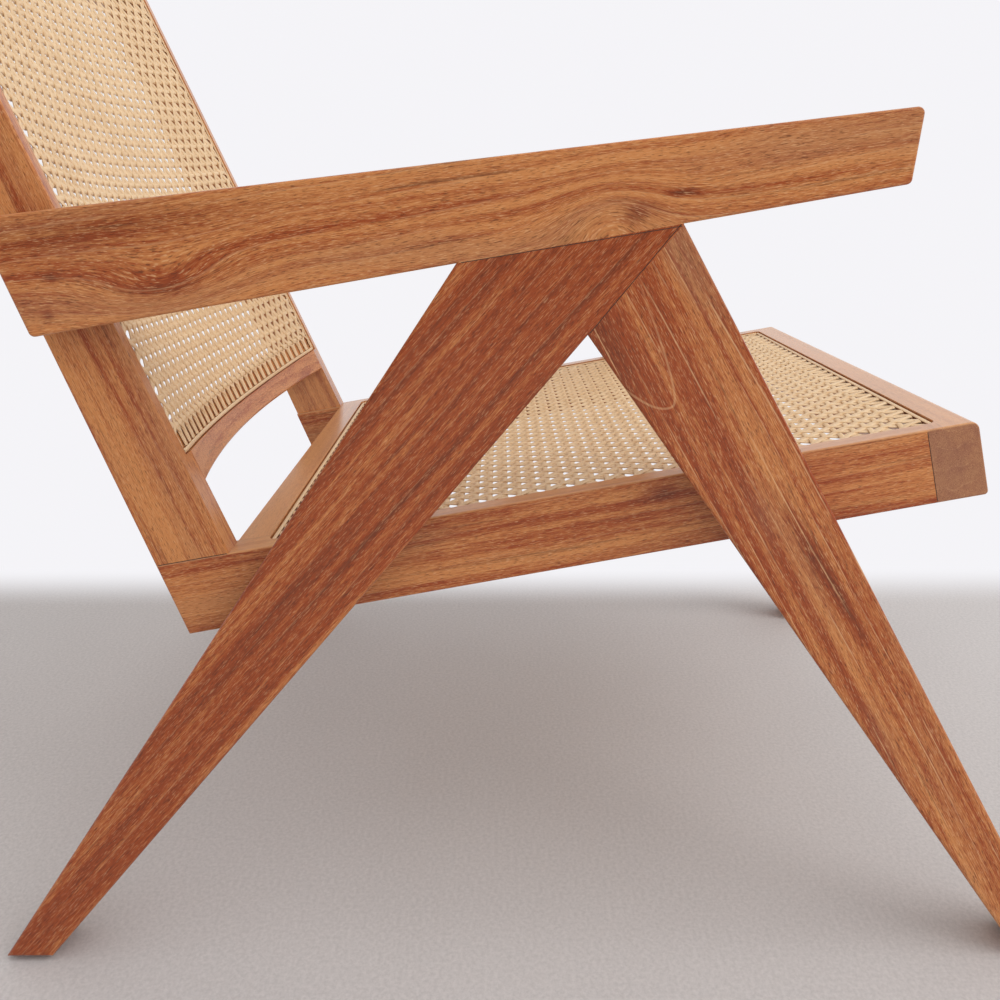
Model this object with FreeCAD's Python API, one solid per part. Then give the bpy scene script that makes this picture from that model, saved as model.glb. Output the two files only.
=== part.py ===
import FreeCAD, Part
import math
import os

# Low easy chair: two flat side frames, a tilted seat frame, a raked and bowed back, woven cane panels.
# Millimetres and degrees. X is the width, the chair faces -Y, Z is up and the floor is Z = 0.
# The side view is set out from the point under the arm where the two legs meet.

# Whole chair
overall_width = 572.0
overall_height = 780.0

# Side frames
side_thickness = 35.0
leg_meeting_height = 499.0
arm_underside_tilt = 9.9
arm_top_tilt = 6.7
arm_front_reach = 146.8
arm_front_depth = 49.9
arm_front_lean = 8.8
arm_rear_cover = 39.1
arm_rear_lean = 23.7
arm_corner_radius = 4.0
rear_leg_top = 147.4
rear_foot_reach = 451.5
rear_foot_width = 31.0
front_leg_top = 94.0
front_foot_reach = 263.6
front_foot_width = 29.0
side_edge_radius = 2.2

# Feet
glide_height = 3.5
glide_diameter = 14.0
glide_nail_diameter = 3.0
glide_nail_length = 12.0

# Seat frame
seat_front_reach = 211.0
seat_front_height = 363.0
seat_tilt = 10.1
seat_length = 523.4
rail_height = 52.0
side_rail_width = 26.0
front_rail_width = 36.0
rear_rail_width = 36.0
front_top_radius = 5.5
front_bottom_radius = 3.0
frame_edge_radius = 1.8

# Back frame
back_lean = 25.0
stile_thickness = 22.0
stile_foot_width = 50.0
stile_top_width = 40.0
stile_corner_radius = 6.0
back_rail_thickness = 22.0
back_bow = 21.0
bottom_rail_gap = 49.4
bottom_rail_height = 46.0
bottom_rail_arch = 5.6
top_rail_height = 52.0
top_rail_drop = 2.0
back_rail_chamfer = 1.4

# Cane panels: each lies sunk in a rebate of its frame, and the margins are the rims left around the rebate
cane_thickness = 2.2
cane_rebate = 4.0
cane_edge_gap = 0.8
cane_corner_radius = 6.0
seat_side_margin = 15.0
seat_front_margin = 23.0
seat_rear_margin = 24.0
back_side_margin = 11.0
back_bottom_margin = 24.0
back_top_margin = 34.0
# The weave's open meshes, gathered into a plain grid
cane_columns = 8
cane_rows = 12
cane_column_band = 18.0
cane_row_band = 21.0

# Joints: loose tenons, dowels between stiles and arms, and a tenon of its own on each stile's foot
tenon_thickness = 10.0
tenon_bite = 22.0
leg_tenon_bite = 18.0
back_tenon_thickness = 8.0
stile_bite = 14.0
foot_tenon_width = 28.0
foot_tenon_length = 26.0
side_tenon_width = 56.0
rail_web = 6.0
dowel_diameter = 10.0
dowel_bite = 22.0
arm_dowel_spacing = 36.0
glue_room = 1.0
fit_play = 0.1

# Worked out from the sizes above
seat_width = overall_width - 2.0 * side_thickness
half_width = seat_width / 2.0
half_clear = half_width - stile_thickness
far = 4.0 * (overall_width + overall_height)


def turned(point, angle):
    """The point (y, z) turned about the origin, towards +Z from +Y."""
    c = math.cos(math.radians(angle))
    s = math.sin(math.radians(angle))
    return (point[0] * c - point[1] * s, point[0] * s + point[1] * c)


def along(point, direction, distance):
    """The point (y, z) moved by a distance along a direction of length one."""
    return (point[0] + distance * direction[0], point[1] + distance * direction[1])


def towards(start, end):
    """The direction of length one from one point (y, z) to another."""
    run = math.hypot(end[0] - start[0], end[1] - start[1])
    return ((end[0] - start[0]) / run, (end[1] - start[1]) / run)


def meet(p, d, q, e):
    """Where the line through p along d crosses the line through q along e."""
    det = e[0] * d[1] - d[0] * e[1]
    t = (e[0] * (q[1] - p[1]) - e[1] * (q[0] - p[0])) / det
    return along(p, d, t)


def board(points, x_from, x_to):
    """A flat board between two X planes with the given outline in Y and Z."""
    corners = [FreeCAD.Vector(x_from, y, z) for y, z in points]
    face = Part.Face(Part.makePolygon(corners + corners[:1]))
    return face.extrude(FreeCAD.Vector(x_to - x_from, 0, 0))


def beyond(point, direction, side, x_from, x_to):
    """A board that fills everything on one side of a line in the side view."""
    start = along(point, direction, -far)
    end = along(point, direction, far)
    return board([start, end, along(end, side, far), along(start, side, far)], x_from, x_to)


def at(x, point):
    return FreeCAD.Vector(x, point[0], point[1])


def rod(start, end, diameter):
    """A round rod between two points in space."""
    axis = end.sub(start)
    return Part.makeCylinder(diameter / 2.0, axis.Length, start, axis)


def rectangle(centre, axis, half_along, half_across):
    """The corners of a rectangle in the side view, along an axis and across it."""
    square = (-axis[1], axis[0])
    signs = ((-1, -1), (1, -1), (1, 1), (-1, 1))
    return [along(along(centre, axis, a * half_along), square, b * half_across) for a, b in signs]


def tongue(centre, axis, half_width_across, bite, x, thickness, room, play):
    """A flat loose tenon in the side view; with room and play, the slot that it sits in."""
    ends = rectangle(centre, axis, bite + room, half_width_across + play)
    return board(ends, x - thickness / 2.0 - play, x + thickness / 2.0 + play)


def bar(centre, axis, half_width_across, thickness, x, bite_in, bite_out, room, play):
    """A flat loose tenon along X through the plane at x; axis points across its thickness."""
    ends = rectangle(centre, axis, thickness / 2.0 + play, half_width_across + play)
    return board(ends, x - bite_in - room, x + bite_out + room)


def peg(place, bite_in, bite_out, room, play):
    """A dowel along X through the plane between the seat frame and the left side frame."""
    start = at(half_width - bite_in - room, place)
    return rod(start, at(half_width + bite_out + room, place), dowel_diameter + 2.0 * play)


def mirrored(shape):
    return shape.mirror(FreeCAD.Vector(0, 0, 0), FreeCAD.Vector(1, 0, 0))


def both_sides(shapes):
    """One group of separate solids: those of the left side and their mirror images on the right."""
    return Part.makeCompound(shapes + [mirrored(shape) for shape in shapes])


def without(shape, cutters):
    for cutter in cutters:
        shape = shape.cut(cutter)
    return shape


def is_across(edge):
    """An edge that runs along X."""
    start, end = edge.Vertexes[0].Point, edge.Vertexes[-1].Point
    return abs(start.x - end.x) > 1e-3 and abs(start.y - end.y) < 1e-6 and abs(start.z - end.z) < 1e-6


def passes(edge, point):
    """An edge along X that goes through the point (y, z) of the side view."""
    place = edge.Vertexes[0].Point
    return is_across(edge) and math.hypot(place.y - point[0], place.z - point[1]) < 1e-3


def round_corners(shape, points, radius):
    """Rounds the X edges that stand on the given points of the side view."""
    return shape.makeFillet(radius, [e for e in shape.Edges if any(passes(e, p) for p in points)])


def lies_at(edge, x):
    """An edge that lies in the plane at the given X."""
    return abs(edge.BoundBox.XMin - x) < 1e-4 and abs(edge.BoundBox.XMax - x) < 1e-4


# Seat frame and stiles in the side view: one outline, flush on the outside, rounded before it is parted
seat_front = (-seat_front_reach, seat_front_height)
seat_back = turned((1.0, 0.0), -seat_tilt)
seat_up = turned((0.0, 1.0), -seat_tilt)
stile_foot = along(seat_front, seat_back, seat_length)
back_up = turned((0.0, 1.0), -back_lean)
back_rear = turned((1.0, 0.0), -back_lean)
corner_loss = stile_corner_radius * (back_up[1] - back_rear[1] - 1.0)
stile_length = (overall_height + corner_loss - stile_foot[1]) / back_up[1]
stile_top = along(stile_foot, back_up, stile_length)
stile_top_rear = along(stile_top, back_rear, stile_top_width)
stile_rear_edge = towards(along(stile_foot, back_rear, stile_foot_width), stile_top_rear)
stile_foot_rear = meet(stile_top_rear, stile_rear_edge, stile_foot, seat_back)
rail_low_front = along(seat_front, seat_up, -rail_height)
rail_low_rear = meet(stile_top_rear, stile_rear_edge, rail_low_front, seat_back)
front_joint = along(seat_front, seat_back, front_rail_width)
side_rail_middle = half_width - side_rail_width / 2.0
side_rail_bite = (side_rail_width - rail_web) / 2.0

# Side frames in the side view: arm and legs share one outline, rounded before it is parted at the joints
foot_level = glide_height
legs_meet = (0.0, leg_meeting_height)
underside = turned((1.0, 0.0), -arm_underside_tilt)
arm_up = turned((0.0, 1.0), -arm_underside_tilt)
arm_top = turned((1.0, 0.0), -arm_top_tilt)
arm_front_edge = turned((0.0, 1.0), arm_front_lean)
arm_low_front = along(legs_meet, underside, -arm_front_reach)
arm_top_front = along(arm_low_front, arm_front_edge, arm_front_depth)
arm_low_rear = along(meet(stile_foot, back_up, legs_meet, underside), underside, arm_rear_cover)
arm_rear_edge = turned((0.0, 1.0), -arm_rear_lean)
arm_top_rear = meet(arm_top_front, arm_top, arm_low_rear, arm_rear_edge)

rear_leg_back = along(legs_meet, underside, rear_leg_top)
rear_foot_back = (rear_foot_reach, foot_level)
rear_foot_front = (rear_foot_reach - rear_foot_width, foot_level)
leg_joint = towards(legs_meet, rear_foot_front)
leg_fork = along(legs_meet, leg_joint, front_leg_top)
front_foot_front = (-front_foot_reach, foot_level)
front_foot_back = (front_foot_width - front_foot_reach, foot_level)
rearwards = (-leg_joint[1], leg_joint[0])

side_outline = [arm_low_front, arm_top_front, arm_top_rear, arm_low_rear, rear_leg_back, rear_foot_back,
                rear_foot_front, leg_fork, front_foot_back, front_foot_front, legs_meet]
arm_inner = half_width
arm_outer = half_width + side_thickness
arm_middle = half_width + side_thickness / 2.0


def side_frame():
    """The left arm, rear leg and front leg, flush with each other."""
    whole = board(side_outline, arm_inner, arm_outer)
    whole = round_corners(whole, side_outline[:4], arm_corner_radius)
    rims = [e for e in whole.Edges if lies_at(e, arm_inner) or lies_at(e, arm_outer)]
    whole = whole.makeFillet(side_edge_radius, rims)
    arm_zone = beyond(legs_meet, underside, arm_up, arm_inner, arm_outer)
    rear_zone = beyond(legs_meet, leg_joint, rearwards, arm_inner, arm_outer)
    legs = whole.cut(arm_zone)
    return whole.common(arm_zone), legs.common(rear_zone), legs.cut(rear_zone)


def arm_tenon(room, play):
    """The loose tenon between the left arm and its rear leg, square to the arm's underside."""
    middle = along(legs_meet, underside, 0.68 * rear_leg_top)
    return tongue(middle, arm_up, 0.20 * rear_leg_top, tenon_bite, arm_middle, tenon_thickness, room, play)


def leg_tenon(room, play):
    """The loose tenon between the two left legs, square to their joint."""
    middle = along(legs_meet, leg_joint, 0.62 * front_leg_top)
    return tongue(middle, rearwards, 0.25 * front_leg_top, leg_tenon_bite, arm_middle, tenon_thickness,
                  room, play)


def glide(foot_front, foot_back, room, play):
    """A nail-on button under a left foot; with room and play, the space that it takes up there."""
    r = glide_diameter / 2.0
    nail = glide_nail_diameter / 2.0 + play
    top = glide_height + glide_nail_length + room
    path = [(0, 0), (r, 0), (r, glide_height), (nail, glide_height), (nail, top), (0, top)]
    corners = [FreeCAD.Vector(x, 0, z) for x, z in path]
    button = Part.Face(Part.makePolygon(corners + corners[:1]))
    button = button.revolve(FreeCAD.Vector(0, 0, 0), FreeCAD.Vector(0, 0, 1), 360)
    button.translate(FreeCAD.Vector(arm_middle, (foot_front[0] + foot_back[0]) / 2.0, 0))
    return button


def seat_box(y_from, y_to, x_from, x_to):
    """A block the height of the rails, between two distances from the front of the seat."""
    low = along(seat_front, seat_up, -rail_height)
    return board([along(seat_front, seat_back, y_from), along(seat_front, seat_back, y_to),
                  along(low, seat_back, y_to), along(low, seat_back, y_from)], x_from, x_to)


def seat_and_stiles():
    """The seat's four rails and the left and right stiles, as flush separate solids."""
    inside = half_width - side_rail_width
    sides = [seat_front, stile_foot_rear, rail_low_rear, rail_low_front]
    whole = board(sides, -half_width, half_width)
    opening = seat_box(front_rail_width, seat_length - rear_rail_width, -inside, inside)
    behind = seat_box(seat_length, far, -inside, inside)
    whole = whole.cut(opening).cut(behind)
    posts = [stile_foot, stile_top, stile_top_rear, stile_foot_rear]
    left_post = board(posts, half_clear, half_width)
    whole = whole.fuse([left_post, mirrored(left_post)]).removeSplitter()
    whole = round_corners(whole, [seat_front], front_top_radius)
    whole = round_corners(whole, [rail_low_front], front_bottom_radius)
    whole = round_corners(whole, [stile_top, stile_top_rear], stile_corner_radius)
    rims = [e for e in whole.Edges if lies_at(e, half_width) or lies_at(e, -half_width)]
    whole = whole.makeFillet(frame_edge_radius, rims)
    post_zone = beyond(seat_front, seat_back, seat_up, -half_width, half_width)
    rails = whole.cut(post_zone)
    stiles = whole.common(post_zone)
    front = rails.common(seat_box(-far, front_rail_width, -half_width, half_width))
    rear = rails.common(seat_box(seat_length - rear_rail_width, seat_length, -inside, inside))
    left = rails.common(seat_box(front_rail_width, far, inside, half_width))
    stile = stiles.common(board([(-far, -far), (far, -far), (far, far), (-far, far)], 0.0, half_width))
    return front.Solids[0], rear.Solids[0], left.Solids[0], stile.Solids[0]


def foot_tenon(room, play):
    """The tongue of the left stile in its side rail; with room and play, the mortise for it."""
    run = towards(stile_foot, stile_foot_rear)
    middle = along(stile_foot, run, math.dist(stile_foot, stile_foot_rear) / 2.0)
    fore = along(middle, run, -foot_tenon_width / 2.0 - play)
    aft = along(middle, run, foot_tenon_width / 2.0 + play)
    x = half_width - stile_thickness / 2.0
    half = tenon_thickness / 2.0 + play
    depth = -foot_tenon_length - room
    return board([fore, aft, along(aft, back_up, depth), along(fore, back_up, depth)], x - half, x + half)


def front_rail_tenon(room, play):
    """The loose tenon between the front rail and the left side rail, along the seat."""
    middle = along(front_joint, seat_up, -rail_height / 2.0)
    return tongue(middle, seat_back, 0.28 * rail_height, tenon_bite, side_rail_middle, tenon_thickness,
                  room, play)


def rear_rail_tenon(room, play):
    """The loose tenon between the rear rail and the left side rail, along X."""
    line = along(seat_front, seat_back, seat_length - rear_rail_width / 2.0)
    middle = along(line, seat_up, -rail_height / 2.0)
    x = half_width - side_rail_width
    return bar(middle, seat_back, 0.28 * rail_height, tenon_thickness, x, tenon_bite, side_rail_bite,
               room, play)


# Back rails and cane: made upright at the origin, then leaned back onto the stiles' feet
bow_radius = (half_clear ** 2 + back_bow ** 2) / (2.0 * back_bow)
bow_centre = back_bow - bow_radius
top_rail_low = stile_length - top_rail_drop - top_rail_height


def on_back(shape):
    shape.rotate(FreeCAD.Vector(0, 0, 0), FreeCAD.Vector(1, 0, 0), -back_lean)
    shape.translate(at(0.0, stile_foot))
    return shape


def bowed_rail(low, height):
    """A rail curved in plan between the stiles, flush with their front faces at its ends."""
    base = FreeCAD.Vector(0, bow_centre, low)
    ring = Part.makeCylinder(bow_radius + back_rail_thickness, height, base)
    ring = ring.cut(Part.makeCylinder(bow_radius, height, base))
    depth = back_bow + 2.0 * back_rail_thickness
    between = Part.makeBox(2.0 * half_clear, 2.0 * depth, height, FreeCAD.Vector(-half_clear, -depth, low))
    return ring.common(between)


def soften(rail):
    """Takes the sharpness off the long edges of a bowed rail; the joints at its ends stay sharp."""
    long_edges = [e for e in rail.Edges if e.BoundBox.XLength > half_clear / 2.0]
    return rail.makeChamfer(back_rail_chamfer, long_edges)


def bottom_rail():
    """The lower back rail, its lower edge cut to a shallow arch."""
    rail = bowed_rail(bottom_rail_gap, bottom_rail_height)
    radius = (half_clear ** 2 + bottom_rail_arch ** 2) / (2.0 * bottom_rail_arch)
    deep = back_bow + 2.0 * back_rail_thickness
    start = FreeCAD.Vector(0, -deep, bottom_rail_gap + bottom_rail_arch - radius)
    return soften(rail.cut(Part.makeCylinder(radius, 2.0 * deep, start, FreeCAD.Vector(0, 1, 0))))


def top_rail():
    return soften(bowed_rail(top_rail_low, top_rail_height))


def back_rail_tenons(room, play):
    """The loose tenons between both back rails and the left stile, along X."""
    middles = [(bottom_rail_gap + bottom_rail_height / 2.0, bottom_rail_height),
               (top_rail_low + top_rail_height / 2.0, top_rail_height)]
    bars = []
    for level, height in middles:
        middle = along(along(stile_foot, back_up, level), back_rear, 0.6 * back_rail_thickness)
        bars.append(bar(middle, back_rear, 0.28 * height, back_tenon_thickness, half_clear, tenon_bite,
                        stile_bite, room, play))
    return bars


# Cane: both panels are made flat or upright at the origin, as are the cutters for their rebates


def on_seat(shape):
    shape.rotate(FreeCAD.Vector(0, 0, 0), FreeCAD.Vector(1, 0, 0), -seat_tilt)
    shape.translate(at(0.0, seat_front))
    return shape


def grid(low, high, count, band):
    """Where the openings of one row begin, with half a band at both ends of it, and how wide they are."""
    pitch = (high - low) / count
    return [low + i * pitch + band / 2.0 for i in range(count)], pitch - band


def seat_slab(inset, low, high):
    """A block with round corners over the seat's rebate, drawn in all round, between two levels."""
    edge = half_width - seat_side_margin - inset
    fore = seat_front_margin + inset
    aft = seat_length - seat_rear_margin - inset
    block = Part.makeBox(2.0 * edge, aft - fore, high - low, FreeCAD.Vector(-edge, fore, low))
    corners = [e for e in block.Edges if e.BoundBox.XLength + e.BoundBox.YLength < (high - low) / 2.0]
    return block.makeFillet(cane_corner_radius, corners)


def seat_rebate():
    return on_seat(seat_slab(0.0, -cane_rebate, rail_height))


def seat_panel():
    """The seat's cane on the floor of its rebate: one holed face, given its thickness."""
    slab = seat_slab(cane_edge_gap, -cane_rebate, cane_thickness - cane_rebate)
    lowest = min(slab.Faces, key=lambda face: face.CenterOfMass.z)
    inside = half_width - side_rail_width
    lefts, width = grid(-inside, inside, cane_columns, cane_column_band)
    fronts, length = grid(front_rail_width, seat_length - rear_rail_width, cane_rows, cane_row_band)
    meshes = [Part.makePlane(width, length, FreeCAD.Vector(x, y, -cane_rebate)).OuterWire
              for x in lefts for y in fronts]
    net = Part.makeFace([lowest.OuterWire] + meshes, "Part::FaceMakerBullseye")
    return on_seat(net.extrude(FreeCAD.Vector(0, 0, cane_thickness)))


def back_slab(inset, sunk_front, sunk_rear):
    """A sheet over the back's rebate, drawn in all round, between two depths behind the frame's front:
    flat on the stiles, and hollow between them like the rails."""
    edge = half_width - back_side_margin - inset
    low = bottom_rail_gap + back_bottom_margin + inset
    high = top_rail_low + back_top_margin - inset

    def point(x, n):
        return FreeCAD.Vector(x, n, low)

    def hollow(sunk, sign):
        radius = bow_radius + sunk
        x = sign * half_clear
        n = bow_centre + math.sqrt(radius ** 2 - half_clear ** 2)
        return Part.Arc(point(x, n), point(0.0, bow_centre + radius), point(-x, n)).toShape(), n

    rear, rear_n = hollow(sunk_rear, -1.0)
    front, front_n = hollow(sunk_front, 1.0)
    right = Part.makePolygon([point(-half_clear, front_n), point(-edge, sunk_front),
                              point(-edge, sunk_rear), point(-half_clear, rear_n)])
    left = Part.makePolygon([point(half_clear, rear_n), point(edge, sunk_rear),
                             point(edge, sunk_front), point(half_clear, front_n)])
    outline = Part.Wire(right.Edges + [rear] + left.Edges + [front])
    return Part.Face(outline).extrude(FreeCAD.Vector(0, 0, high - low))


def back_rebate():
    return on_back(back_slab(0.0, -back_bow, cane_rebate))


def back_panel():
    """The back's cane on the floor of its rebate, with its grid between the inner edges of the frame."""
    slab = back_slab(cane_edge_gap, cane_rebate - cane_thickness, cane_rebate)
    lefts, width = grid(-half_clear, half_clear, cane_columns, cane_column_band)
    lows, height = grid(bottom_rail_gap + bottom_rail_height, top_rail_low, cane_rows, cane_row_band)
    depth = back_bow + back_rail_thickness
    meshes = [Part.makeBox(width, 2.0 * depth, height, FreeCAD.Vector(x, -depth, z))
              for x in lefts for z in lows]
    return on_back(slab.cut(Part.makeCompound(meshes)))


# Tenons and dowels along X hold the seat frame and the stiles to the inner faces of the side frames


def side_rail_tenons(room, play):
    """The loose tenons where the left side rail passes behind each leg."""
    line = along(seat_front, seat_up, -rail_height / 2.0)
    bars = []
    for fore, fore_dir, aft, aft_dir in (
            (legs_meet, towards(legs_meet, front_foot_front), leg_fork, towards(leg_fork, front_foot_back)),
            (legs_meet, leg_joint, rear_leg_back, towards(rear_leg_back, rear_foot_back))):
        edges = [meet(line, seat_back, fore, fore_dir), meet(line, seat_back, aft, aft_dir)]
        middle = ((edges[0][0] + edges[1][0]) / 2.0, (edges[0][1] + edges[1][1]) / 2.0)
        bars.append(bar(middle, seat_up, side_tenon_width / 2.0, tenon_thickness, half_width,
                        side_rail_bite, tenon_bite, room, play))
    return bars


def arm_dowels(room, play):
    """A pair of dowels up the left stile, in the middle of what the arm covers of it."""
    level = along(arm_low_rear, arm_rear_edge, math.dist(arm_low_rear, arm_top_rear) / 2.0)
    front = meet(stile_foot, back_up, level, underside)
    rear = meet(arm_low_rear, arm_rear_edge, level, underside)
    middle = ((front[0] + rear[0]) / 2.0, (front[1] + rear[1]) / 2.0)
    return [peg(along(middle, back_up, share * arm_dowel_spacing), stile_bite, dowel_bite, room, play)
            for share in (-0.5, 0.5)]


# The chair
arm, rear_leg, front_leg = side_frame()
front_rail, rear_rail, side_rail, stile = seat_and_stiles()
stile = stile.fuse(foot_tenon(0.0, 0.0)).removeSplitter()

slot = (glue_room, fit_play)
arm = without(arm, [arm_tenon(*slot)] + arm_dowels(*slot))
rear_leg = without(rear_leg, [arm_tenon(*slot), leg_tenon(*slot)] + side_rail_tenons(*slot)
                   + [glide(rear_foot_front, rear_foot_back, *slot)])
front_leg = without(front_leg, [leg_tenon(*slot)] + side_rail_tenons(*slot)
                    + [glide(front_foot_front, front_foot_back, *slot)])
side_rail = without(side_rail, [front_rail_tenon(*slot), rear_rail_tenon(*slot), foot_tenon(*slot)]
                    + side_rail_tenons(*slot) + [seat_rebate()])
stile = without(stile, back_rail_tenons(*slot) + arm_dowels(*slot) + [back_rebate()])
front_slots = [front_rail_tenon(*slot), mirrored(front_rail_tenon(*slot))]
front_rail = without(front_rail, front_slots + [seat_rebate()])
rear_slots = [rear_rail_tenon(*slot), mirrored(rear_rail_tenon(*slot))]
rear_rail = without(rear_rail, rear_slots + [seat_rebate()])
back_slots = back_rail_tenons(*slot)
back_slots += [mirrored(hole) for hole in back_slots] + [back_rebate()]

chair = {
    "seat_front_rail": front_rail,
    "seat_rear_rail": rear_rail,
    "back_bottom_rail": without(on_back(bottom_rail()), back_slots),
    "back_top_rail": without(on_back(top_rail()), back_slots),
    "seat_cane": seat_panel(),
    "back_cane": back_panel(),
    "arm_tenons": both_sides([arm_tenon(0.0, 0.0)]),
    "leg_tenons": both_sides([leg_tenon(0.0, 0.0)]),
    "front_rail_tenons": both_sides([front_rail_tenon(0.0, 0.0)]),
    "rear_rail_tenons": both_sides([rear_rail_tenon(0.0, 0.0)]),
    "back_rail_tenons": both_sides(back_rail_tenons(0.0, 0.0)),
    "side_rail_tenons": both_sides(side_rail_tenons(0.0, 0.0)),
    "arm_dowels": both_sides(arm_dowels(0.0, 0.0)),
}
pairs = {
    "arm": arm,
    "rear_leg": rear_leg,
    "front_leg": front_leg,
    "seat_side_rail": side_rail,
    "back_stile": stile,
    "glide_rear": glide(rear_foot_front, rear_foot_back, 0.0, 0.0),
    "glide_front": glide(front_foot_front, front_foot_back, 0.0, 0.0),
}
for name, shape in pairs.items():
    chair[name + "_left"] = shape
    chair[name + "_right"] = mirrored(shape)

# The chair is centred over the origin in the side view, as it is across
box = Part.makeCompound(list(chair.values())).optimalBoundingBox(False)
centring = FreeCAD.Vector(0, -(box.YMin + box.YMax) / 2.0, 0)
os.makedirs("parts", exist_ok=True)
for name, shape in chair.items():
    shape.translate(centring)
    shape.exportStep("parts/" + name + ".step")
print("size %.1f x %.1f x %.1f mm, %d nodes" % (box.XLength, box.YLength, box.ZLength, len(chair)))
print("the legs meet at y = %.2f mm" % centring.y)
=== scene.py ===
"""Lounge chair of oiled teak and hand-woven cane: its finishes, its weave and the stage it stands on."""

import math
import random

import bpy
from bpy.props import FloatProperty, FloatVectorProperty, IntProperty, PointerProperty
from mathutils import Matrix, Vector


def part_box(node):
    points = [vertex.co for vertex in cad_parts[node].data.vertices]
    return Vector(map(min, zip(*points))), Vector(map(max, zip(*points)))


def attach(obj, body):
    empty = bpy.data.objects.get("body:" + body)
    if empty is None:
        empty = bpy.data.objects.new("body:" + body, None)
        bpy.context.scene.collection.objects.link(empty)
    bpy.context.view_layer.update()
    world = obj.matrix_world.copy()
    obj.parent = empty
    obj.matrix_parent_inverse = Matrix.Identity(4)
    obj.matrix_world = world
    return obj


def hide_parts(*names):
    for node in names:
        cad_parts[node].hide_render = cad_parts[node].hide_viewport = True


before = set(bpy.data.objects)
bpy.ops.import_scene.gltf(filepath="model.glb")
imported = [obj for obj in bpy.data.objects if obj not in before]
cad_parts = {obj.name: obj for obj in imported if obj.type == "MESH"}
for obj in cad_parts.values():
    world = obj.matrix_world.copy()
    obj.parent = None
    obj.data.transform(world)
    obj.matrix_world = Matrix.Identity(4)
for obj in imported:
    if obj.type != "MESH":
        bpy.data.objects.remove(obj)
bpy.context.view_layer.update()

bl_info = {
    "name": "Cane lounge chair",
    "version": (1, 0, 0),
    "blender": (4, 5, 0),
    "location": "3D View > Sidebar > Lounge chair",
    "description": "Finishes the teak frame of a lounge chair and weaves its cane seat and back",
    "category": "Object",
}

BODY = "root"
MM = 0.001
RIGHT_ANGLE = math.radians(90.0)
WHITE = (0.913, 0.905, 0.935, 1.0)

# Lean of each board's grain from the horizontal, in the plane of the side frames, towards the front
ARM_GRAIN = math.radians(8.0)
REAR_LEG_GRAIN = math.radians(47.9)
FRONT_LEG_GRAIN = math.radians(118.0)
SEAT_TILT = math.radians(10.1)
BACK_LEAN = math.radians(25.0)
STILE_GRAIN = RIGHT_ANGLE + BACK_LEAN

# Layers of the teak's figure: turns per metre along and across the grain, noise detail and roughness
FIGURE = {
    "wander": (3.4, 12.0, 2.0, 0.5),
    "unrest": (1.9, 45.0, 2.0, 0.5),
    "gaps": (16.0, 160.0, 2.0, 0.5),
    "band": (1.5, 34.0, 2.0, 0.5),
    "stripe": (3.6, 150.0, 3.0, 0.62),
    "streak": (5.0, 210.0, 4.0, 0.68),
    "grey": (4.0, 24.0, 3.0, 0.5),
    "fibre": (95.0, 1500.0, 3.0, 0.65),
    "pores": (210.0, 2100.0, 1.0, 0.5),
}
# The level of a layer at which something begins to show, and at which it shows in full
SHOWS = {
    "gaps": (0.40, 0.60),
    "streak": (0.56, 0.74),
    "grey": (0.48, 0.70),
    "pale": (0.58, 0.72),
    "dark": (0.42, 0.28),
}
# How far a layer swings the tone from gold, at 0, to russet, at 1, and how fast it then turns umber
SWING = {"band": 2.6, "stripe": 2.6, "late": 0.45, "fibre": 2.8}
OVERSHOOT = 0.55
# Growth rings, counted in rings: how far they stray, where late wood ends, and where its pale line lies
RING_STRAY = 1.3
LATE_END = 0.90
LATE_MEAN = 0.28
LINE_START = 0.88
LINE_CREST = 0.95
# Strength of dark marks, dark pores and greyed end grain
MARK_RED = 1.4
MARK_DARK = 0.9
PORE_DARK = 0.66
END_GREY = 0.70
# Depth below the surface over which a colour of one face fades out, from none to full: greyed end grain,
# and the painted highlight on upper faces
END_SKIN = (0.8 * MM, 0.2 * MM)
UPPER_SKIN = (1.5 * MM, 0.2 * MM)
# A pale tongue: where its legs fade out and are in full, from its tip, and the width of its line
TONGUE_LEGS = (0.11, 0.02)
TONGUE_LINE = (1.1 * MM, 0.3 * MM)

# Layers of the cane's figure: turns per metre along and across a strand, slice and detail of the noise
CANE_FIGURE = {
    "strand": (2.2, 170.0, 0.0, 1.0),
    "patch": (14.0, 60.0, 3.0, 2.0),
    "fibre": (60.0, 3200.0, 7.0, 2.0),
}
# Tone of the cane from straw, at 0, to honey, at 1, and how far its layers swing it
CANE_TONE = 0.30
CANE_SWING = {"strand": 1.5, "patch": 0.9, "fibre": 0.5}

# The panels: bow of the back, thickness of the frame's sheets, distance of the holes from the rails
BACK_BOW = 21 * MM
CANE_SHEET = 2.2 * MM
HOLE_INSET = 3.2 * MM
# Section of a strand: height of its shoulders and breadth of its crown, in shares of half its size
SHOULDER = 0.1
CROWN = 0.5
# Strands at a hole: their depth in it, and where they turn down and end, in shares of it
HOLE_DEPTH = 3.5 * MM
TURN_DOWN = 0.12
STRAND_END = 0.012
# How far single strands stray from their lanes
PAIR_STRAY = 0.25 * MM
DIAGONAL_STRAY = 0.20 * MM
# Half the stretch on which a strand keeps level over another, and its level beside the rails, in lifts
GRIP = 1.1 * MM
BORDER_LEVEL = -0.35
DIAGONAL_LEVEL = 0.5
BINDER_LEVEL = 0.6
# Pairs beside the rails: their share of the spread, how far they keep it, and where they are in lane
CROSSWISE_BORDER = (0.8, 0.3, 0.5)
PLAIN_BORDER = (0.6, 0.2, 0.5)
SLOTTED_BORDER = (0.5, 0.42, 0.68)
# Diagonals in a slotted border: how far they lean with the pair, and how fast they then leave it
LEAN_WITH_PAIR = 0.15
LEAVE_PAIR = 2.2
# Strand meshes: points this close are one, and edges below this angle are smooth
MERGE_WITHIN = 1e-6
SMOOTH_BELOW = math.radians(40.0)

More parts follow.
